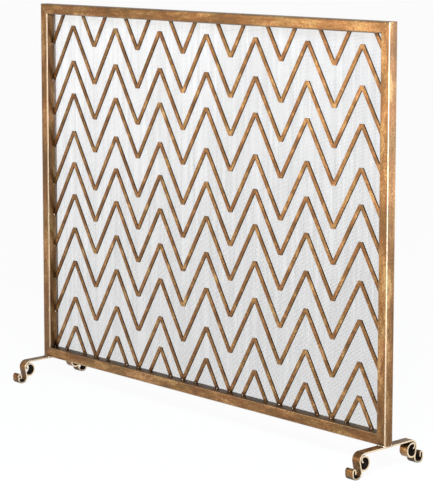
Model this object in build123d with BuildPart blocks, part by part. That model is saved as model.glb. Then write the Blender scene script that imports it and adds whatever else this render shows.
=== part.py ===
from build123d import *
import os
from itertools import cycle
from math import atan2, cos, radians, sin, tan

# Single-panel fireplace screen: a square-tube frame filled with zigzag rows of flat bar in front of
# a wire mesh, standing on two flat straps that end in scrolls. Millimetres, +Z up, front towards -Y.
# The origin is on the floor, midway between the feet and midway through the thickness of the frame.

# Frame of mitred square tube
frame_width = 965.0
frame_height = 740.0
tube_size = 21.0
tube_wall = 1.5
tube_corner = 3.0

# Feet: two straps run front to back under the posts and lift the frame this high above the floor.
# The reach is measured from the middle of the foot to the centre of the shoulder's bend
foot_rise = 45.0
strap_width = 18.0
strap_thick = 3.0
shoulder_reach = 60.4
shoulder_radius = 12.5
lean_angle = 13.0
curl_radius = 10.0
rest_run = 3.0
toe_radius = 8.2
toe_rise = 6.0
hook_radius = 3.3
hook_drop = 5.5

# Inner scroll, curled up under each end of each strap. It starts a little way up the strap's lean,
# and its hook and straight runs are shares of its radius
scroll_gap = 2.1
scroll_start_share = 0.2
scroll_start_angle = 50.0
scroll_top_share = 0.14
scroll_hook_share = 0.4
scroll_hook_turn = 150.0
scroll_end_share = 0.16

# Zigzag rows of flat bar: one limb from each valley to the next peak, blunt at both ends.
# The first limb of every row starts at a valley against the left post. The zigzag is drawn for an
# opening of the width and height given here, and is stretched with the opening
bar_width = 8.0
bar_thick = 3.0
bar_to_mesh = 3.0
drawn_width = 923.0
drawn_height = 698.0
limb_angle = 60.0
peak_spacing = 133.4
first_peak_above_opening = 54.0
row_steps = (75.5, 71.5, 67.0, 77.5, 64.5, 66.0, 69.5, 69.5, 76.0, 61.5)
shortest_piece = 3.0

# Mesh panel, and the flat strips that hold its edges against the back of the frame
mesh_thick = 1.2
mesh_overlap = 12.0
strip_inset = 1.5
strip_bar_width = 14.0
strip_bar_thick = 2.0

# Worked out from the sizes above
half_width = frame_width / 2
half_tube = tube_size / 2
frame_bottom = foot_rise
frame_top = foot_rise + frame_height
opening_width = frame_width - 2 * tube_size
opening_height = frame_height - 2 * tube_size
opening_left = -opening_width / 2
opening_bottom = frame_bottom + tube_size
opening_top = frame_top - tube_size
opening_middle = (opening_bottom + opening_top) / 2
across = Vector(1, 0, 0)
upright = Vector(0, 0, 1)

os.makedirs("parts", exist_ok=True)


def write(piece, label):
    """Name a finished piece and write it as its own STEP file."""
    piece.label = label
    export_step(piece, f"parts/{label}.step")


# Frame: one tube along each side, cut at 45 degrees at both ends so that the corners are mitred


def mitred_tube(corner, along, outward, length):
    """A tube from one outer corner of the frame to the next, with its outer wall facing outward."""
    with BuildPart() as tube:
        with BuildSketch(Plane(corner - outward * half_tube, x_dir=outward, z_dir=along)):
            RectangleRounded(tube_size, tube_size, tube_corner)
            bore_size = tube_size - 2 * tube_wall
            RectangleRounded(bore_size, bore_size, tube_corner - tube_wall, mode=Mode.SUBTRACT)
        extrude(amount=length)
        split(bisect_by=Plane(corner, z_dir=along + outward), keep=Keep.TOP)
        split(bisect_by=Plane(corner + along * length, z_dir=outward - along), keep=Keep.TOP)
    return tube.part


low_left = Vector(-half_width, 0, frame_bottom)
low_right = Vector(half_width, 0, frame_bottom)
top_left = Vector(-half_width, 0, frame_top)
write(mitred_tube(low_left, upright, -across, frame_height), "left_post")
write(mitred_tube(low_right, upright, across, frame_height), "right_post")
write(mitred_tube(low_left, across, -upright, frame_width), "bottom_rail")
write(mitred_tube(top_left, across, upright, frame_width), "top_rail")


# Feet. Seen from the side, half a strap runs out flat, bends down over the shoulder, leans back in,
# and curls out again along the floor, up at the toe and over into a small hook
strap_middle = foot_rise - strap_thick / 2
lean = radians(lean_angle)
bends_rise = (shoulder_radius + curl_radius) * (1 + sin(lean))
lean_length = (foot_rise - strap_thick - bends_rise) / cos(lean)
bend_turn = 90 + lean_angle


def foot_strap(x):
    """One foot strap, its middle at x, with the same curl at the front and at the back."""
    with BuildPart() as strap:
        with BuildLine(Plane.YZ.offset(x)) as course:
            flat = Line((0, strap_middle), (shoulder_reach, strap_middle))
            shoulder = JernArc(flat @ 1, flat % 1, shoulder_radius, -bend_turn)
            shin = Line(shoulder @ 1, shoulder @ 1 + (shoulder % 1) * lean_length)
            curl = JernArc(shin @ 1, shin % 1, curl_radius, bend_turn)
            rest = Line(curl @ 1, curl @ 1 + (curl % 1) * rest_run)
            toe = JernArc(rest @ 1, rest % 1, toe_radius, 90)
            rise = Line(toe @ 1, toe @ 1 + (toe % 1) * toe_rise)
            hook = JernArc(rise @ 1, rise % 1, hook_radius, 180)
            Line(hook @ 1, hook @ 1 + (hook % 1) * hook_drop)
        with BuildSketch(Plane(course.line @ 0, x_dir=across, z_dir=course.line % 0)):
            Rectangle(strap_width, strap_thick)
        sweep()
        mirror(about=Plane.XZ)
    return strap.part


# The scroll starts on the middle line of the lean, so its end is always buried in the strap, and it
# is as big as fits between there and the gap below the flat of the strap
start_length = (1 - scroll_start_share) * lean_length
start_reach = shoulder_reach + shoulder_radius * cos(lean) - start_length * sin(lean)
start_rise = strap_middle - shoulder_radius * (1 + sin(lean)) - start_length * cos(lean)
scroll_top = foot_rise - strap_thick - scroll_gap - strap_thick / 2
scroll_radius = (scroll_top - start_rise) / (1 + sin(radians(scroll_start_angle)))
scroll_reach = start_reach - scroll_radius * cos(radians(scroll_start_angle))


def inner_scroll(x, strap, towards_back):
    """The scroll under one end of a strap, trimmed where it meets the strap's inner face."""
    with BuildPart() as scroll:
        with BuildLine(Plane.YZ.offset(x)) as course:
            bowl = CenterArc(
                (scroll_reach, scroll_top - scroll_radius),
                scroll_radius,
                -scroll_start_angle,
                scroll_start_angle - 270,
            )
            top = Line(bowl @ 1, bowl @ 1 + (bowl % 1) * scroll_top_share * scroll_radius)
            hook = JernArc(top @ 1, top % 1, scroll_hook_share * scroll_radius, -scroll_hook_turn)
            Line(hook @ 1, hook @ 1 + (hook % 1) * scroll_end_share * scroll_radius)
        with BuildSketch(Plane(course.line @ 0, x_dir=across, z_dir=course.line % 0)):
            Rectangle(strap_width, strap_thick)
        sweep()
        add(strap, mode=Mode.SUBTRACT)
    return scroll.part if towards_back else scroll.part.mirror(Plane.XZ)


strap_offset = half_width - strap_width / 2
for side, x in (("left", -strap_offset), ("right", strap_offset)):
    strap = foot_strap(x)
    write(strap, f"{side}_foot_strap")
    write(inner_scroll(x, strap, towards_back=False), f"{side}_front_scroll")
    write(inner_scroll(x, strap, towards_back=True), f"{side}_back_scroll")


# Zigzag rows, from the top down. A limb's outline is a slanting band of bar, cut upright where it
# meets the next limb and level at its tips, and trimmed to the opening of the frame.
bar_front = half_tube - bar_to_mesh - bar_thick
bar_back = half_tube - bar_to_mesh
stretch_across = opening_width / drawn_width
stretch_up = opening_height / drawn_height
limb_run = peak_spacing / 2 * stretch_across
limb_rise = peak_spacing / 2 * tan(radians(limb_angle)) * stretch_up
bar_half_rise = bar_width / 2 / cos(atan2(limb_rise, limb_run))
blunt_run = bar_half_rise * limb_run / limb_rise


def limb(valley_x, peak_x, peak):
    """One limb from a valley up to a peak, on either side of the valley."""
    valley = peak - limb_rise
    inward = 1 if peak_x > valley_x else -1
    with BuildPart() as bar:
        with BuildSketch(Plane.XZ.offset(-bar_back)):
            Polygon(
                (valley_x, valley),
                (valley_x + inward * blunt_run, valley),
                (peak_x, peak - bar_half_rise),
                (peak_x, peak),
                (peak_x - inward * blunt_run, peak),
                (valley_x, valley + bar_half_rise),
                align=None,
            )
            with Locations((0, opening_middle)):
                Rectangle(opening_width, opening_height, mode=Mode.INTERSECT)
        extrude(amount=bar_thick)
    return bar.part


def zigzag_row(peak):
    """All the limbs of one row, each a separate bar that meets its neighbours at its tips."""
    limbs = []
    left = opening_left
    rising = True
    while left < opening_left + opening_width - shortest_piece:
        right = left + limb_run
        limbs.append(limb(left, right, peak) if rising else limb(right, left, peak))
        left = right
        rising = not rising
    return Compound(children=limbs)


peak = opening_top + first_peak_above_opening * stretch_up
number = 1
for step in cycle(row_steps):
    if peak < opening_bottom + shortest_piece:
        break
    if peak - limb_rise < opening_top - shortest_piece:
        write(zigzag_row(peak), f"zigzag_row_{number:02}")
        number += 1
    peak -= step * stretch_up


# Mesh panel against the back of the frame, with a strip over each of its edges


def plate(width, height, x, z, front, thick):
    """A flat upright plate, centred on x and z, with its front face at the given depth."""
    with BuildPart() as piece:
        with BuildSketch(Plane.XZ.offset(-(front + thick))):
            with Locations((x, z)):
                Rectangle(width, height)
        extrude(amount=thick)
    return piece.part


mesh_width = opening_width + 2 * mesh_overlap
mesh_height = opening_height + 2 * mesh_overlap
write(plate(mesh_width, mesh_height, 0, opening_middle, half_tube, mesh_thick), "mesh_panel")

strip_front = half_tube + mesh_thick
strip_reach = strip_inset + strip_bar_width / 2
strips_width = opening_width + 2 * (strip_inset + strip_bar_width)
strips_height = opening_height + 2 * strip_inset
for side, z in (("top", opening_top + strip_reach), ("bottom", opening_bottom - strip_reach)):
    strip = plate(strips_width, strip_bar_width, 0, z, strip_front, strip_bar_thick)
    write(strip, f"{side}_mesh_strip")
for side, direction in (("left", -1), ("right", 1)):
    x = direction * (opening_width / 2 + strip_reach)
    strip = plate(strip_bar_width, strips_height, x, opening_middle, strip_front, strip_bar_thick)
    write(strip, f"{side}_mesh_strip")
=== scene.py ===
from math import cos, pi, radians, sin, tan

import bpy
from bpy.props import FloatProperty, FloatVectorProperty, IntProperty, PointerProperty
from bpy.types import Operator, Panel, PropertyGroup
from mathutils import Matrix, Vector


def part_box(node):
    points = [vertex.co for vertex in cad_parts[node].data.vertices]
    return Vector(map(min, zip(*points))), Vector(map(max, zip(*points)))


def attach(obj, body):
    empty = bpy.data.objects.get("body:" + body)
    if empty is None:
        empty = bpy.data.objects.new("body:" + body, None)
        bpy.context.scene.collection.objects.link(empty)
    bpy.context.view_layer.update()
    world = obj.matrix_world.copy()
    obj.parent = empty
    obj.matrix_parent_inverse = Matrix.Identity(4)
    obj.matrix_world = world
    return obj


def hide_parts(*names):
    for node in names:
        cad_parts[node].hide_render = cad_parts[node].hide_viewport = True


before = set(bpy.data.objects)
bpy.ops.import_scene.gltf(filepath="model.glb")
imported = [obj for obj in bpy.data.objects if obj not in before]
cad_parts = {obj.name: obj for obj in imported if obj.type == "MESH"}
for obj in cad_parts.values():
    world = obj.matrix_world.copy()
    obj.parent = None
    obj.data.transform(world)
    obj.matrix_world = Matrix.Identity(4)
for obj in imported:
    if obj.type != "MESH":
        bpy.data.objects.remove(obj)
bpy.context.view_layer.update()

bl_info = {
    "name": "Zigzag fireplace screen",
    "version": (1, 0, 0),
    "blender": (4, 5, 0),
    "location": "3D View > Sidebar > Screen",
    "description": (
        "Builds a square-tube fireplace screen with zigzag bars, wire mesh and scrolled feet"
    ),
    "category": "Object",
}

# The faces of the frame that the other pieces are placed from, in metres
INNER_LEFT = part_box("left_post")[1].x
INNER_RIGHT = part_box("right_post")[0].x
OPENING_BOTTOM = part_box("bottom_rail")[1].z
OPENING_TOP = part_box("top_rail")[0].z
ROWS = sorted(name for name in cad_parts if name.startswith("zigzag_row"))
FULL_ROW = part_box("zigzag_row_02")

TOUCH = 0.0001  # two faces closer than this are taken as touching
NEAR = 0.001  # how far outside the opening a bar's end still counts as being on it
LONG = 0.1  # an edge that reaches further than this runs along a tube
HARD_EDGE = radians(35)  # edges of tubes and bars that turn more than this are rounded
CUT_EDGE = 0.3  # a face turned further left or right than this belongs to a strap's cut edge
DEEP = 0.6  # share of a hollow's radius within which every face lies in its depth
LIGHTS_AIM = (0.48, 0, 0.4)  # the softboxes all point at the right post, about half-way up

# The colour sockets of a Mix node: its two inputs and its output
FIRST_COLOUR, SECOND_COLOUR, MIXED_COLOUR = 6, 7, 2


# Sizes and colours ---------------------------------------------------------------------------


def linear(hex_colour):
    """An sRGB colour written as six hex digits, turned to linear red, green and blue."""
    parts = [int(hex_colour[i : i + 2], 16) / 255 for i in (0, 2, 4)]
    return [c / 12.92 if c <= 0.04045 else ((c + 0.055) / 1.055) ** 2.4 for c in parts]


def length(name, description, default):
    """A length property; its default is given in millimetres."""
    return FloatProperty(
        name=name,
        description=description,
        default=default / 1000,
        min=0.0,
        precision=5,
        unit="LENGTH",
    )


def colour(name, description, hex_colour):
    """A colour property, with its default as sRGB hex."""
    return FloatVectorProperty(
        name=name,
        description=description,
        subtype="COLOR",
        size=3,
        min=0.0,
        max=1.0,
        default=linear(hex_colour),
    )


class TubeSettings(PropertyGroup):
    """The square tube of the frame"""

    corner: length("Corner", "Radius of the tube's long corners", 3.0)
    seam: length("Seam", "Groove left at each mitre after grinding", 0.35)


class BarSettings(PropertyGroup):
    """The flat bar that the zigzag rows are folded from"""

    width: length("Width", "Width of the flat bar, square to its length", 8.0)
    soft_edge: length("Soft edge", "Rounding left along the edges of the rolled bar", 0.45)
    limb_angle: FloatProperty(
        name="Limb angle",
        description="Slope of each limb above level",
        default=radians(60),
        subtype="ANGLE",
    )


class FootSettings(PropertyGroup):
    """The rolled strap of the feet and scrolls"""

    thick: length("Thick", "Thickness of the strap", 3.0)
    toe_radius: length("Toe radius", "Bend of the toe, to the middle of the strap", 8.2)
    soft_edge: length("Soft edge", "Rounding along the edges of the strap", 0.5)


class WeldSettings(PropertyGroup):
    """Weld beads left on the joints"""

    radius: length("Bead", "Radius of the bead between post and foot", 2.3)
    spot: length("Spot", "Radius of the spot where a bar meets the frame", 1.9)


class MeshSettings(PropertyGroup):
    """The wire mesh behind the bars"""

    # Drawn coarser than the real mesh, whose single wires are too fine to count
    pitch: length("Pitch", "Distance from one wire to the next", 2.4)
    wire: length("Wire", "Thickness of each wire", 0.36)
    sides: IntProperty(
        name="Wire sides", description="Sides of each wire's round section", default=6, min=3
    )


class FinishSettings(PropertyGroup):
    """The hand-rubbed gold finish, the colours of its painted shade and painted highlight, and the
    mesh wire's own colour
    """

    gold: colour("Gold", "Rubbed metallic gold over most of the steel", "7B5529")
    pale_gold: colour("Pale gold", "Gold on the spots that were rubbed most", "B8976A")
    brown: colour("Brown", "Brown base coat between the rubbed patches", "543A1C")
    # Painted highlight colour, laid along cut edges and corners
    bright: colour("Bright gold", "Gold rubbed to a shine along cut edges", "F3DFBE")
    # Painted shade colour, laid in corners, on sides, on faces into the opening and inside the
    # curls
    dark: colour("Dark", "Base coat in corners and on sides that the rubbing missed", "120B06")
    wire: colour("Wire", "Satin wire of the mesh", "D8D5D0")


# Working in Blender --------------------------------------------------------------------------


def deselect():
    """Leaves object mode with nothing selected."""
    if bpy.context.object and bpy.context.object.mode != "OBJECT":
        bpy.ops.object.mode_set(mode="OBJECT")
    bpy.ops.object.select_all(action="DESELECT")


def work_on(piece):
    """Makes a piece the only one selected."""
    deselect()
    piece.select_set(True)
    bpy.context.view_layer.objects.active = piece


def settle(name):
    """Names the new object and moves its place, turn and scale into its mesh."""
    piece = bpy.context.object
    piece.name = name
    piece.data.name = name
    bpy.ops.object.transform_apply(location=True, rotation=True, scale=True)
    return piece


def select_points(piece, test):
    """In edit mode, selects the vertices whose place passes the test."""
    bpy.ops.mesh.select_mode(type="VERT")
    bpy.ops.mesh.select_all(action="DESELECT")
    bpy.ops.object.mode_set(mode="OBJECT")
    for vertex in piece.data.vertices:
        vertex.select = test(vertex.co)
    bpy.ops.object.mode_set(mode="EDIT")


def select_edges(piece, test):
    """In edit mode, selects the edges whose two ends pass the test."""
    bpy.ops.mesh.select_mode(type="EDGE")
    bpy.ops.mesh.select_all(action="DESELECT")
    bpy.ops.object.mode_set(mode="OBJECT")
    for edge in piece.data.edges:
        edge.select = test(*(piece.data.vertices[i].co for i in edge.vertices))
    bpy.ops.object.mode_set(mode="EDIT")


def cut(point, normal, fill):
    """In edit mode, cuts off all that lies beyond a plane, on the side its normal points to."""
    bpy.ops.mesh.select_all(action="SELECT")
    bpy.ops.mesh.bisect(plane_co=point, plane_no=normal, use_fill=fill, clear_outer=True)


def modify(piece, kind, **settings):
    """Adds a modifier to a piece and applies it."""
    work_on(piece)
    modifier = piece.modifiers.new(kind.title(), kind)
    for name, value in settings.items():
        setattr(modifier, name, value)
    bpy.ops.object.modifier_apply(modifier=modifier.name)


def smooth(piece):
    """Shades the curves smoothly and keeps flat faces flat."""
    work_on(piece)
    bpy.ops.object.shade_smooth_by_angle(angle=radians(40))
    modify(piece, "WEIGHTED_NORMAL", keep_sharp=True)


def finish_piece(piece, material, slot, *nodes):
    """Gives a finished piece its material and its place in the frame."""
    piece.data.materials.clear()
    piece.data.materials.append(material)
    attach(piece, "root")
    if nodes:
        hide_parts(*nodes)


# Materials -----------------------------------------------------------------------------------


def add_node(tree, kind, settings, links):
    """Adds a node.

    Settings with a lower-case name are the node's own, the others are values of its sockets.
    Links feed its sockets from other nodes.
    """
    node = tree.nodes.new(kind)
    for name, value in settings.items():
        if isinstance(name, str) and name[0].islower():
            setattr(node, name, value)
        else:
            node.inputs[name].default_value = value
    for name, source in links.items():
        tree.links.new(source, node.inputs[name])
    return node


def per_mm(size):
    """Texture scale that makes a pattern's features this many millimetres across."""
    return 1000 / size


def new_material(name):
    """A material with its principled shader and its object coordinates."""
    material = bpy.data.materials.get(name)
    if material:
        bpy.data.materials.remove(material)
    material = bpy.data.materials.new(name)
    material.use_nodes = True
    tree = material.node_tree
    place = add_node(tree, "ShaderNodeTexCoord", {}, {}).outputs["Object"]
    return material, tree, tree.nodes["Principled BSDF"], place


def rubbed_gold(name, stretch, side_shade=0.0, reveal_shade=0.0, highlight_on="corners", shine=0.8):
    """Hand-rubbed gold over a brown base coat on mild steel.

    Metallic paint dabbed and wiped on by hand: it looks mottled, with red-brown and olive breaking
    through, and shines softly where it is thick. The pattern is scaled by stretch along each axis,
    so the marks run long in the direction that the paint was wiped in. A painted highlight in the
    bright colour lies on the cut "edges" or on the "corners", by the share shine. Painted shade in
    the dark colour lies in corners and inside the curls, and by the shares side_shade and
    reveal_shade on faces that look sideways and on faces that look into the opening.
    """
    finish = bpy.context.scene.screen_finish
    material, tree, shader, place = new_material(name)
    wiped = add_node(
        tree, "ShaderNodeMapping", {"vector_type": "POINT", "Scale": stretch}, {"Vector": place}
    ).outputs["Vector"]
    # Patches where the hand pressed, about 22 mm across
    patches = add_node(
        tree,
        "ShaderNodeTexNoise",
        {"Scale": per_mm(22), "Detail": 3.0, "Roughness": 0.55},
        {"Vector": wiped},
    ).outputs["Fac"]
    # Wiping marks, about 5 mm
    marks = add_node(
        tree,
        "ShaderNodeTexNoise",
        {"Scale": per_mm(5), "Detail": 4.0, "Roughness": 0.65},
        {"Vector": wiped},
    ).outputs["Fac"]
    # Grain of the paint, drawn at 1.6 mm because the real 0.2 mm is too fine to show
    grain = add_node(
        tree, "ShaderNodeTexNoise", {"Scale": per_mm(1.6), "Detail": 2.0}, {"Vector": place}
    ).outputs["Fac"]
    weighted = add_node(
        tree,
        "ShaderNodeMath",
        {"operation": "MULTIPLY_ADD", 1: 0.6},
        {0: marks, 2: grain},
    ).outputs[0]
    rub = add_node(
        tree,
        "ShaderNodeMath",
        {"operation": "MULTIPLY_ADD", 1: 1.2},
        {0: patches, 2: weighted},
    ).outputs[0]
    ramp = add_node(tree, "ShaderNodeValToRGB", {}, {"Fac": add_node(
        tree,
        "ShaderNodeMapRange",
        {"From Min": 1.05, "From Max": 1.75},
        {"Value": rub},
    ).outputs[0]})
    stops = ramp.color_ramp.elements
    stops[0].position = 0.0
    stops[0].color = (*finish.brown, 1)
    stops[1].position = 1.0
    stops[1].color = (*finish.pale_gold, 1)
    middle = stops.new(0.55)
    middle.color = (*finish.gold, 1)
    # Slow drift between red-brown and olive, over about 45 mm
    drift = add_node(
        tree, "ShaderNodeTexNoise", {"Scale": per_mm(45), "Detail": 2.0}, {"Vector": place}
    ).outputs["Fac"]
    tint = add_node(tree, "ShaderNodeValToRGB", {}, {"Fac": drift})
    tint.color_ramp.elements[0].position = 0.35
    tint.color_ramp.elements[0].color = (*linear("FFF0E2"), 1)
    tint.color_ramp.elements[1].position = 0.65
    tint.color_ramp.elements[1].color = (*linear("F6F6E2"), 1)
    tinted = add_node(
        tree,
        "ShaderNodeMix",
        {"data_type": "RGBA", "blend_type": "MULTIPLY", "Factor": 1.0},
        {FIRST_COLOUR: ramp.outputs["Color"], SECOND_COLOUR: tint.outputs["Color"]},
    ).outputs[MIXED_COLOUR]
    # Painted shade: corners and the inside of the curls, within about 15 mm of other steel, are
    # darkened where shade falls
    open_air = add_node(
        tree, "ShaderNodeAmbientOcclusion", {"samples": 8, "Distance": 0.015}, {}
    ).outputs["AO"]
    recess_shade = add_node(
        tree,
        "ShaderNodeMapRange",
        {"From Min": 0.85, "From Max": 0.35, "To Min": 0.0, "To Max": 1.0},
        {"Value": open_air},
    ).outputs[0]
    # Painted shade on faces that look sideways, by the share side_shade; faces to the front and
    # back stay lit
    normal = add_node(tree, "ShaderNodeNewGeometry", {}, {}).outputs["True Normal"]
    facing = add_node(tree, "ShaderNodeSeparateXYZ", {}, {"Vector": normal}).outputs
    painted_side_shade = add_node(
        tree,
        "ShaderNodeMapRange",
        {"From Min": 0.75, "From Max": 0.3, "To Min": 0.0, "To Max": side_shade},
        {"Value": add_node(
            tree, "ShaderNodeMath", {"operation": "ABSOLUTE"}, {0: facing["Y"]}
        ).outputs[0]},
    ).outputs[0]
    # Painted highlight in the bright colour along the cut edges of the strap, which face left and
    # right, or along the corners of the tubes, which face neither straight to the front or back
    # nor across
    if highlight_on == "edges":
        measure = add_node(
            tree, "ShaderNodeMath", {"operation": "ABSOLUTE"}, {0: facing["X"]}
        ).outputs[0]
        limits = (0.6, 0.9)
    else:
        squared = add_node(
            tree, "ShaderNodeMath", {"operation": "MULTIPLY"}, {0: facing["Y"], 1: facing["Y"]}
        ).outputs[0]
        measure = add_node(
            tree, "ShaderNodeMath", {"operation": "COMPARE", 1: 0.5, 2: 0.36}, {0: squared}
        ).outputs[0]
        limits = (0.0, 1.0)
    edge = add_node(
        tree,
        "ShaderNodeMapRange",
        {"From Min": limits[0], "From Max": limits[1], "To Min": 0.0, "To Max": shine},
        {"Value": measure},
    ).outputs[0]
    tinted = add_node(
        tree,
        "ShaderNodeMix",
        {"data_type": "RGBA", SECOND_COLOUR: (*finish.bright, 1)},
        {"Factor": edge, FIRST_COLOUR: tinted},
    ).outputs[MIXED_COLOUR]
    # Painted shade on faces that look into the opening, which are made darker than those that look
    # out
    middle_height = add_node(
        tree,
        "ShaderNodeVectorMath",
        {"operation": "SUBTRACT", 1: (0, 0, (OPENING_BOTTOM + OPENING_TOP) / 2)},
        {0: place},
    ).outputs["Vector"]
    outward = add_node(
        tree, "ShaderNodeVectorMath", {"operation": "DOT_PRODUCT"}, {0: normal, 1: middle_height}
    ).outputs["Value"]
    reveal = add_node(
        tree,
        "ShaderNodeMapRange",
        {"From Min": -0.1, "From Max": -0.3, "To Min": 0.0, "To Max": reveal_shade},
        {"Value": outward},
    ).outputs[0]
    painted_shade = recess_shade
    for hidden in (painted_side_shade, reveal):
        painted_shade = add_node(
            tree, "ShaderNodeMath", {"operation": "MAXIMUM"}, {0: painted_shade, 1: hidden}
        ).outputs[0]
    # Painted shade: the dark colour is mixed into the gold by the painted shade share
    coat = add_node(
        tree,
        "ShaderNodeMix",
        {"data_type": "RGBA", SECOND_COLOUR: (*finish.dark, 1)},
        {"Factor": painted_shade, FIRST_COLOUR: tinted},
    ).outputs[MIXED_COLOUR]
    tree.links.new(coat, shader.inputs["Base Color"])
    rough = add_node(
        tree,
        "ShaderNodeMapRange",
        {"From Min": 0.35, "From Max": 0.65, "To Min": 0.32, "To Max": 0.46},
        {"Value": marks},
    ).outputs[0]
    tree.links.new(rough, shader.inputs["Roughness"])
    shader.inputs["Metallic"].default_value = 0.9
    # The wax coat is taken away where the painted shade lies, so the shaded faces do not shine
    wax = add_node(
        tree, "ShaderNodeMapRange", {"To Min": 0.4, "To Max": 0.0}, {"Value": painted_shade}
    ).outputs[0]
    tree.links.new(wax, shader.inputs["Coat Weight"])
    shader.inputs["Coat Roughness"].default_value = 0.3
    # Brush and wiping texture, about 0.07 mm deep
    bump = add_node(
        tree,
        "ShaderNodeBump",
        {"Strength": 0.6, "Distance": 0.00012},
        {"Height": weighted},
    ).outputs["Normal"]
    tree.links.new(bump, shader.inputs["Normal"])
    return material


def curl_shade_material():
    """Near-black painted shade for the faces inside the curls: satin, with faint brush marks."""
    finish = bpy.context.scene.screen_finish
    material, tree, shader, place = new_material("near_black_painted_shade")
    brushed = add_node(
        tree, "ShaderNodeTexNoise", {"Scale": per_mm(3), "Detail": 3.0}, {"Vector": place}
    ).outputs["Fac"]
    shade = add_node(tree, "ShaderNodeValToRGB", {}, {"Fac": brushed})
    shade.color_ramp.elements[0].position = 0.35
    shade.color_ramp.elements[0].color = (*(c * 0.5 for c in finish.dark), 1)
    shade.color_ramp.elements[1].position = 0.7
    shade.color_ramp.elements[1].color = (*(c * 2 for c in finish.dark), 1)
    tree.links.new(shade.outputs["Color"], shader.inputs["Base Color"])
    shader.inputs["Roughness"].default_value = 0.6
    shader.inputs["Specular IOR Level"].default_value = 0.08
    bump = add_node(
        tree, "ShaderNodeBump", {"Strength": 0.5, "Distance": 0.0001}, {"Height": brushed}
    ).outputs["Normal"]
    tree.links.new(bump, shader.inputs["Normal"])
    return material


def satin_wire():
    """Drawn steel wire with a thin satin coat: pale grey, softly shining and a little uneven."""
    finish = bpy.context.scene.screen_finish
    material, tree, shader, place = new_material("satin_steel_wire")
    # Each upright wire took the coat a little differently, over about 7 mm of mesh
    streak = add_node(
        tree,
        "ShaderNodeTexNoise",
        {"Scale": per_mm(7), "Detail": 2.0, "Roughness": 0.7},
        {"Vector": add_node(
            tree, "ShaderNodeMapping", {"Scale": (1, 1, 0.04)}, {"Vector": place}
        ).outputs["Vector"]},
    ).outputs["Fac"]
    # Painted shade: the wire is darker low down and towards the right
    shade_slope = add_node(
        tree,
        "ShaderNodeVectorMath",
        {"operation": "DOT_PRODUCT", 1: (-0.35, 0, 1)},
        {0: place},
    ).outputs["Value"]
    painted_lighting = add_node(
        tree, "ShaderNodeMapRange", {"From Min": -0.05, "From Max": 0.8}, {"Value": shade_slope}
    ).outputs[0]
    tone = add_node(
        tree, "ShaderNodeMath", {"operation": "MULTIPLY_ADD", 1: 1.6}, {0: streak, 2: painted_lighting}
    ).outputs[0]
    shade = add_node(tree, "ShaderNodeValToRGB", {}, {"Fac": add_node(
        tree, "ShaderNodeMapRange", {"From Min": 0.95, "From Max": 2.1}, {"Value": tone}
    ).outputs[0]})
    shade.color_ramp.elements[0].color = (*(c * 0.06 for c in finish.wire), 1)
    shade.color_ramp.elements[1].color = (*finish.wire, 1)
    tree.links.new(shade.outputs["Color"], shader.inputs["Base Color"])
    shader.inputs["Metallic"].default_value = 0.7
    shader.inputs["Roughness"].default_value = 0.42
    return material


# Pieces --------------------------------------------------------------------------------------


class SCREEN_OT_frame(Operator):
    """Cut and mitre the four tubes of the frame"""

    bl_idname = "screen.frame"
    bl_label = "Frame"

    def execute(self, context):
        tube = context.scene.screen_tube
        # Painted highlight along the corners, stronger on the posts than on the rails, and painted
        # shade on faces into the opening
        upright = rubbed_gold("rubbed_gold_uprights", (1, 1, 0.25), reveal_shade=0.3, shine=0.4)
        level = rubbed_gold("rubbed_gold_rails", (0.25, 1, 1), reveal_shade=0.45, shine=0.12)
        left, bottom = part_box("left_post")[0].x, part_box("bottom_rail")[0].z
        right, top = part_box("right_post")[1].x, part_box("top_rail")[1].z
        # Each mitre: its outer corner, the way from there into the post, and into the rail
        mitres = (
            ("left_post", "bottom_rail", (left, bottom), (1, -1)),
            ("left_post", "top_rail", (left, top), (1, 1)),
            ("right_post", "bottom_rail", (right, bottom), (-1, -1)),
            ("right_post", "top_rail", (right, top), (-1, 1)),
        )
        for node in ("left_post", "right_post", "bottom_rail", "top_rail"):
            low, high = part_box(node)
            deselect()
            bpy.ops.mesh.primitive_cube_add(size=1, location=(low + high) / 2, scale=high - low)
            piece = settle(f"{node}_tube")
            along = 2 if node.endswith("post") else 0
            bpy.ops.object.mode_set(mode="EDIT")
            select_edges(piece, lambda a, b: abs(a[along] - b[along]) > LONG)
            bpy.ops.mesh.bevel(offset=tube.corner, segments=6, affect="EDGES")
            for post, rail, corner, away in mitres:
                if node in (post, rail):
                    sign = 1 if node == post else -1
                    normal = (sign * away[0], 0, sign * away[1])
                    cut((corner[0], 0, corner[1]), normal, True)
            bpy.ops.object.mode_set(mode="OBJECT")
            modify(
                piece,
                "BEVEL",
                width=tube.seam,
                segments=2,
                limit_method="ANGLE",
                angle_limit=HARD_EDGE,
            )
            smooth(piece)
            finish_piece(piece, upright if node.endswith("post") else level, "frame", node)
        for side, material in (
            ("left", upright),
            ("right", upright),
            ("top", level),
            ("bottom", level),
        ):
            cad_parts[f"{side}_mesh_strip"].material_slots[0].material = material
        return {"FINISHED"}


def row_lines(node, limb_angle):
    """A row's peak and valley heights, and the width of one limb."""
    low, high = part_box(node)
    rise = FULL_ROW[1].z - FULL_ROW[0].z
    peak = low.z + rise if high.z > OPENING_TOP - TOUCH else high.z
    return peak, peak - rise, rise / tan(limb_angle)


def bar_ends(node, limb_angle):
    """Where the middle line of a row's limbs meets the frame, at the front of the bar."""
    peak, valley, run = row_lines(node, limb_angle)
    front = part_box(node)[0].y
    places = []
    left = INNER_LEFT
    heights = (valley, peak)
    walls = ((0, INNER_LEFT), (0, INNER_RIGHT), (2, OPENING_TOP), (2, OPENING_BOTTOM))
    while left < INNER_RIGHT:
        start = Vector((left, front, heights[0]))
        stop = Vector((left + run, front, heights[1]))
        for axis, wall in walls:
            share = (wall - start[axis]) / (stop[axis] - start[axis])
            place = start.lerp(stop, share)
            inside = OPENING_BOTTOM - NEAR < place.z < OPENING_TOP + NEAR
            if 0 <= share <= 1 and inside and place.x < INNER_RIGHT + NEAR:
                places.append(place)
        left += run
        heights = heights[::-1]
    return places


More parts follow.
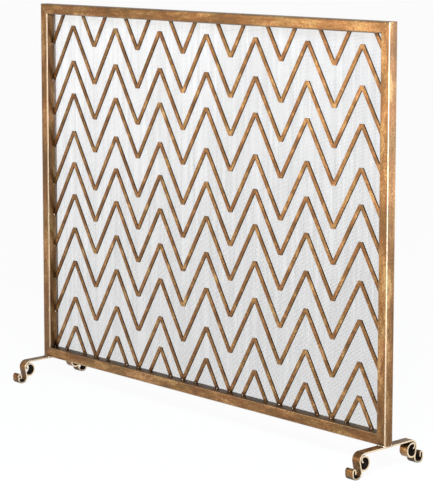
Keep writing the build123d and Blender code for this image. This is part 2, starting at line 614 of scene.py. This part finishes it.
class SCREEN_OT_bars(Operator):
    """Fold each zigzag row from one length of flat bar"""

    bl_idname = "screen.bars"
    bl_label = "Zigzag bars"

    def execute(self, context):
        bar = context.scene.screen_bars
        half_rise = bar.width / 2 / cos(bar.limb_angle)
        # Painted shade in the dark colour on the sides of the bars
        material = rubbed_gold("rubbed_gold_bars", (1, 1, 1), side_shade=1.0, shine=0.0)
        for node in ROWS:
            low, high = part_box(node)
            peak, valley, run = row_lines(node, bar.limb_angle)
            middle = (low.y + high.y) / 2
            row = self.ribbon(f"{node}_bar", valley, middle, run, peak - valley, half_rise)
            bpy.ops.object.mode_set(mode="EDIT")
            cut((0, 0, peak), (0, 0, 1), False)
            cut((0, 0, valley), (0, 0, -1), False)
            bpy.ops.object.mode_set(mode="OBJECT")
            modify(row, "SOLIDIFY", thickness=high.y - low.y, offset=0.0)
            modify(
                row,
                "BEVEL",
                width=bar.soft_edge,
                segments=2,
                limit_method="ANGLE",
                angle_limit=HARD_EDGE,
            )
            bpy.ops.object.mode_set(mode="EDIT")
            # The first fold lies on the post, so this cut is made just clear of its corners
            cut((INNER_LEFT + TOUCH, 0, 0), (-1, 0, 0), True)
            cut((INNER_RIGHT, 0, 0), (1, 0, 0), True)
            cut((0, 0, OPENING_TOP), (0, 0, 1), True)
            cut((0, 0, OPENING_BOTTOM), (0, 0, -1), True)
            bpy.ops.mesh.select_all(action="SELECT")
            bpy.ops.mesh.normals_make_consistent(inside=False)
            bpy.ops.object.mode_set(mode="OBJECT")
            smooth(row)
            finish_piece(row, material, "bars", node)
        return {"FINISHED"}

    def ribbon(self, name, valley, y, run, rise, half_rise):
        """A flat zigzag ribbon that runs past both posts, starting with a falling limb."""
        deselect()
        middle = Vector((INNER_LEFT - run / 2, y, valley + rise))
        bpy.ops.mesh.primitive_plane_add(size=1, location=middle, rotation=(pi / 2, 0, 0))
        ribbon = settle(name)
        bpy.ops.object.mode_set(mode="EDIT")
        bpy.ops.transform.resize(value=(run, 1, 2 * half_rise), center_override=middle)
        select_points(ribbon, lambda place: place.x > middle.x)
        bpy.ops.transform.translate(value=(0, 0, -rise))
        left = INNER_LEFT
        direction = 1
        while left < INNER_RIGHT:
            bpy.ops.mesh.extrude_region_move(
                TRANSFORM_OT_translate={"value": (run, 0, direction * rise)}
            )
            left += run
            direction = -direction
        bpy.ops.object.mode_set(mode="OBJECT")
        return ribbon


class SCREEN_OT_mesh(Operator):
    """String the wires of the mesh, level ones behind upright ones"""

    bl_idname = "screen.mesh"
    bl_label = "Wire mesh"

    def execute(self, context):
        mesh = context.scene.screen_mesh
        low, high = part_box("mesh_panel")
        radius = mesh.wire / 2
        material = satin_wire()
        size = high - low
        middle = (low + high) / 2
        uprights = self.wires(
            "mesh_upright_wires",
            radius,
            size.z,
            (low.x + radius, middle.y - radius, middle.z),
            (0, 0, 0),
            (1, 0, 0),
            size.x - 2 * radius,
            mesh,
        )
        finish_piece(uprights, material, "mesh", "mesh_panel")
        levels = self.wires(
            "mesh_level_wires",
            radius,
            size.x,
            (middle.x, middle.y + radius, low.z + radius),
            (0, pi / 2, 0),
            (0, 0, 1),
            size.z - 2 * radius,
            mesh,
        )
        finish_piece(levels, material, "mesh", "mesh_panel")
        return {"FINISHED"}

    def wires(self, name, radius, wire_length, first, turn, step, reach, mesh):
        """One wire, repeated across the panel at the nearest pitch that fills it."""
        deselect()
        bpy.ops.mesh.primitive_cylinder_add(
            vertices=mesh.sides,
            radius=radius,
            depth=wire_length,
            location=first,
            rotation=turn,
        )
        wire = settle(name)
        gaps = round(reach / mesh.pitch)
        modify(
            wire,
            "ARRAY",
            count=gaps + 1,
            use_relative_offset=False,
            use_constant_offset=True,
            constant_offset_displace=Vector(step) * reach / gaps,
        )
        bpy.ops.object.shade_smooth_by_angle(angle=radians(70))
        return wire


class SCREEN_OT_feet(Operator):
    """Soften the edges of the rolled strap of the feet and scrolls"""

    bl_idname = "screen.feet"
    bl_label = "Feet"

    def execute(self, context):
        foot = context.scene.screen_foot
        # Painted highlight along the strap's cut edges, which face left and right
        gold = rubbed_gold("rubbed_gold_feet", (1, 1, 1), highlight_on="edges", shine=0.7)
        dark = curl_shade_material()
        for side in ("left", "right"):
            hollows = self.hollows(side, foot)
            for kind in ("foot_strap", "front_scroll", "back_scroll"):
                node = f"{side}_{kind}"
                piece = self.rolled(node, foot.soft_edge)
                finish_piece(piece, gold, "feet", node)
                piece.data.materials.append(dark)
                # Faces that look into the hollows of the curls take the near-black painted shade
                for face in piece.data.polygons:
                    if abs(face.normal.x) < CUT_EDGE and self.is_hollow(face, hollows):
                        face.material_index = 1
        return {"FINISHED"}

    def rolled(self, node, soft_edge):
        """A closed copy of a strap or scroll, with its four long edges rounded."""
        piece = bpy.data.objects.new(f"{node}_rolled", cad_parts[node].data.copy())
        bpy.context.collection.objects.link(piece)
        work_on(piece)
        bpy.ops.object.mode_set(mode="EDIT")
        bpy.ops.mesh.select_all(action="SELECT")
        bpy.ops.mesh.remove_doubles(threshold=0.00001)
        bpy.ops.mesh.dissolve_limited(angle_limit=radians(1))
        bpy.ops.object.mode_set(mode="OBJECT")
        modify(
            piece,
            "BEVEL",
            width=soft_edge,
            segments=2,
            limit_method="ANGLE",
            angle_limit=radians(60),
        )
        smooth(piece)
        return piece

    def hollows(self, side, foot):
        """The middle and radius of each scroll, and of each lower curl of the strap."""
        low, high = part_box(f"{side}_foot_strap")
        toe = foot.toe_radius + foot.thick / 2
        found = [(y, low.z + toe, toe) for y in (low.y + toe, high.y - toe)]
        for kind in ("front_scroll", "back_scroll"):
            low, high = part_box(f"{side}_{kind}")
            curl = (high.z - low.z) / 2
            y = high.y - curl if kind == "front_scroll" else low.y + curl
            found.append((y, low.z + curl, curl))
        return found

    def is_hollow(self, face, hollows):
        """Whether a face looks into one of the hollows."""
        for y, z, radius in hollows:
            inward = Vector((0, y - face.center.y, z - face.center.z))
            deep = inward.length < radius * DEEP
            if inward.length < radius and (deep or inward.dot(face.normal) > 0):
                return True
        return False


class SCREEN_OT_welds(Operator):
    """Lay the weld beads on the feet and where the bars meet the frame"""

    bl_idname = "screen.welds"
    bl_label = "Welds"

    def execute(self, context):
        weld = context.scene.screen_weld
        # Painted highlight on the rounded faces of the beads
        material = rubbed_gold("rubbed_gold_welds", (1, 1, 1), shine=0.6)
        for side in ("left", "right"):
            low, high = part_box(f"{side}_foot_strap")
            post_low, post_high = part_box(f"{side}_post")
            for end, y in (("front", post_low.y), ("back", post_high.y)):
                start = Vector((low.x + weld.radius, y, high.z))
                stop = Vector((high.x - weld.radius, y, high.z))
                bead = self.bead(f"{side}_{end}_foot_weld", start, stop, weld.radius)
                finish_piece(bead, material, "feet")
            # The bead on the outer side is finer
            outer = low.x if side == "left" else high.x
            fine = weld.radius * 0.6
            start = Vector((outer, post_low.y + weld.radius, high.z))
            stop = Vector((outer, post_high.y - weld.radius, high.z))
            bead = self.bead(f"{side}_outer_foot_weld", start, stop, fine)
            finish_piece(bead, material, "feet")
        spots = []
        for node in ROWS:
            for place in bar_ends(node, context.scene.screen_bars.limb_angle):
                if all((place - other).length > 2 * weld.spot for other in spots):
                    spots.append(place)
        pieces = [self.drop(place, weld.spot, turn) for turn, place in enumerate(spots)]
        finish_piece(self.joined("bar_end_welds", pieces), material, "bars")
        return {"FINISHED"}

    def drop(self, place, radius, turn):
        """One round drop of weld metal, flattened a little and turned its own way."""
        deselect()
        size = radius * (1 + 0.2 * sin(2.4 * turn))
        bpy.ops.mesh.primitive_ico_sphere_add(
            subdivisions=2,
            radius=size,
            location=place,
            rotation=(0, turn * 1.1, 0),
            scale=(1, 0.7, 0.8),
        )
        return settle("drop")

    def joined(self, name, pieces):
        """The pieces as one smooth object."""
        deselect()
        for piece in pieces:
            piece.select_set(True)
        bpy.context.view_layer.objects.active = pieces[0]
        bpy.ops.object.join()
        bead = settle(name)
        bpy.ops.object.shade_smooth()
        return bead

    def bead(self, name, start, stop, radius):
        """A run of weld: drops laid one over the next, melted together."""
        spacing = radius * 0.9
        count = round((stop - start).length / spacing)
        drops = [
            self.drop(start.lerp(stop, i / count), radius, i) for i in range(count + 1)
        ]
        bead = self.joined(name, drops)
        modify(bead, "REMESH", mode="VOXEL", voxel_size=radius * 0.22)
        modify(bead, "SMOOTH", factor=0.5, iterations=2)
        bpy.ops.object.shade_smooth()
        return bead


# Stage ---------------------------------------------------------------------------------------


class SCREEN_OT_stage(Operator):
    """Lay the floor and set the camera and soft lights"""

    bl_idname = "screen.stage"
    bl_label = "Stage"

    def execute(self, context):
        scene = context.scene
        scene.view_settings.view_transform = "Standard"
        deselect()
        bpy.ops.mesh.primitive_plane_add(size=80, location=(0, 0, 0))
        floor = bpy.context.object
        floor.name = "floor"
        material, _, shader, _ = new_material("pale_floor")
        shader.inputs["Base Color"].default_value = (*linear("2E2E2D"), 1)
        shader.inputs["Emission Color"].default_value = (*linear("FFFFFF"), 1)
        shader.inputs["Emission Strength"].default_value = 0.95
        shader.inputs["Specular IOR Level"].default_value = 0.0
        shader.inputs["Roughness"].default_value = 0.9
        floor.data.materials.append(material)

        bpy.ops.object.camera_add(
            location=(2.6603, -2.4342, 0.9547),
            rotation=(radians(90 - 7.006), radians(-0.047), radians(47.1125)),
        )
        camera = bpy.context.object
        camera.name = "camera"
        camera.data.sensor_fit = "HORIZONTAL"
        camera.data.sensor_width = 36
        camera.data.lens = 159.14
        camera.data.shift_y = -0.2
        camera.data.clip_end = 200
        scene.camera = camera

        self.softbox("front_softbox", (-1.5, -2.6, 0.55), LIGHTS_AIM, 1.3, 1.1, 22, "FFEBCF")
        self.softbox("side_softbox", (1.9, 1.3, 0.6), LIGHTS_AIM, 1.0, 1.0, 14, "F2F6FF")
        self.softbox("edge_softbox", (2.0, -1.5, 0.5), LIGHTS_AIM, 0.6, 1.2, 48, "F2F6FF")
        self.softbox("key_softbox", (1.5, -1.4, 1.9), LIGHTS_AIM, 0.8, 0.8, 150, "D5E5FF")

        world = bpy.data.worlds.new("studio")
        scene.world = world
        world.use_nodes = True
        world.node_tree.nodes["Background"].inputs["Color"].default_value = (1, 1, 1, 1)
        world.node_tree.nodes["Background"].inputs["Strength"].default_value = 0.5
        return {"FINISHED"}

    def softbox(self, name, place, aim, width, height, power, tone):
        """An area light at a place, turned towards a point."""
        turn = (Vector(aim) - Vector(place)).to_track_quat("-Z", "Y").to_euler()
        bpy.ops.object.light_add(type="AREA", location=place, rotation=turn)
        light = bpy.context.object
        light.name = name
        light.data.shape = "RECTANGLE"
        light.data.size = width
        light.data.size_y = height
        light.data.energy = power
        light.data.color = linear(tone)
        light.visible_camera = False


# Add-on --------------------------------------------------------------------------------------

STEPS = (
    SCREEN_OT_frame,
    SCREEN_OT_bars,
    SCREEN_OT_mesh,
    SCREEN_OT_feet,
    SCREEN_OT_welds,
    SCREEN_OT_stage,
)


GROUPS = {
    "screen_tube": TubeSettings,
    "screen_bars": BarSettings,
    "screen_foot": FootSettings,
    "screen_weld": WeldSettings,
    "screen_mesh": MeshSettings,
    "screen_finish": FinishSettings,
}


class SCREEN_PT_panel(Panel):
    """Lists the steps that build the screen"""

    bl_idname = "SCREEN_PT_panel"
    bl_label = "Zigzag fireplace screen"
    bl_space_type = "VIEW_3D"
    bl_region_type = "UI"
    bl_category = "Screen"

    def draw(self, context):
        for settings in GROUPS:
            group = getattr(context.scene, settings)
            for name in group.__annotations__:
                self.layout.prop(group, name)
        for step in STEPS:
            self.layout.operator(step.bl_idname)


CLASSES = (*GROUPS.values(), *STEPS, SCREEN_PT_panel)


def register():
    """Register the classes and hang the settings on the scene."""
    for cls in CLASSES:
        bpy.utils.register_class(cls)
    for name, group in GROUPS.items():
        setattr(bpy.types.Scene, name, PointerProperty(type=group))


def unregister():
    """Take the settings and the classes away again."""
    for name in GROUPS:
        delattr(bpy.types.Scene, name)
    for cls in reversed(CLASSES):
        bpy.utils.unregister_class(cls)


def main():
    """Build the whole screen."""
    register()
    bpy.ops.screen.frame()
    bpy.ops.screen.bars()
    bpy.ops.screen.mesh()
    bpy.ops.screen.feet()
    bpy.ops.screen.welds()
    bpy.ops.screen.stage()


if __name__ == "__main__":
    main()
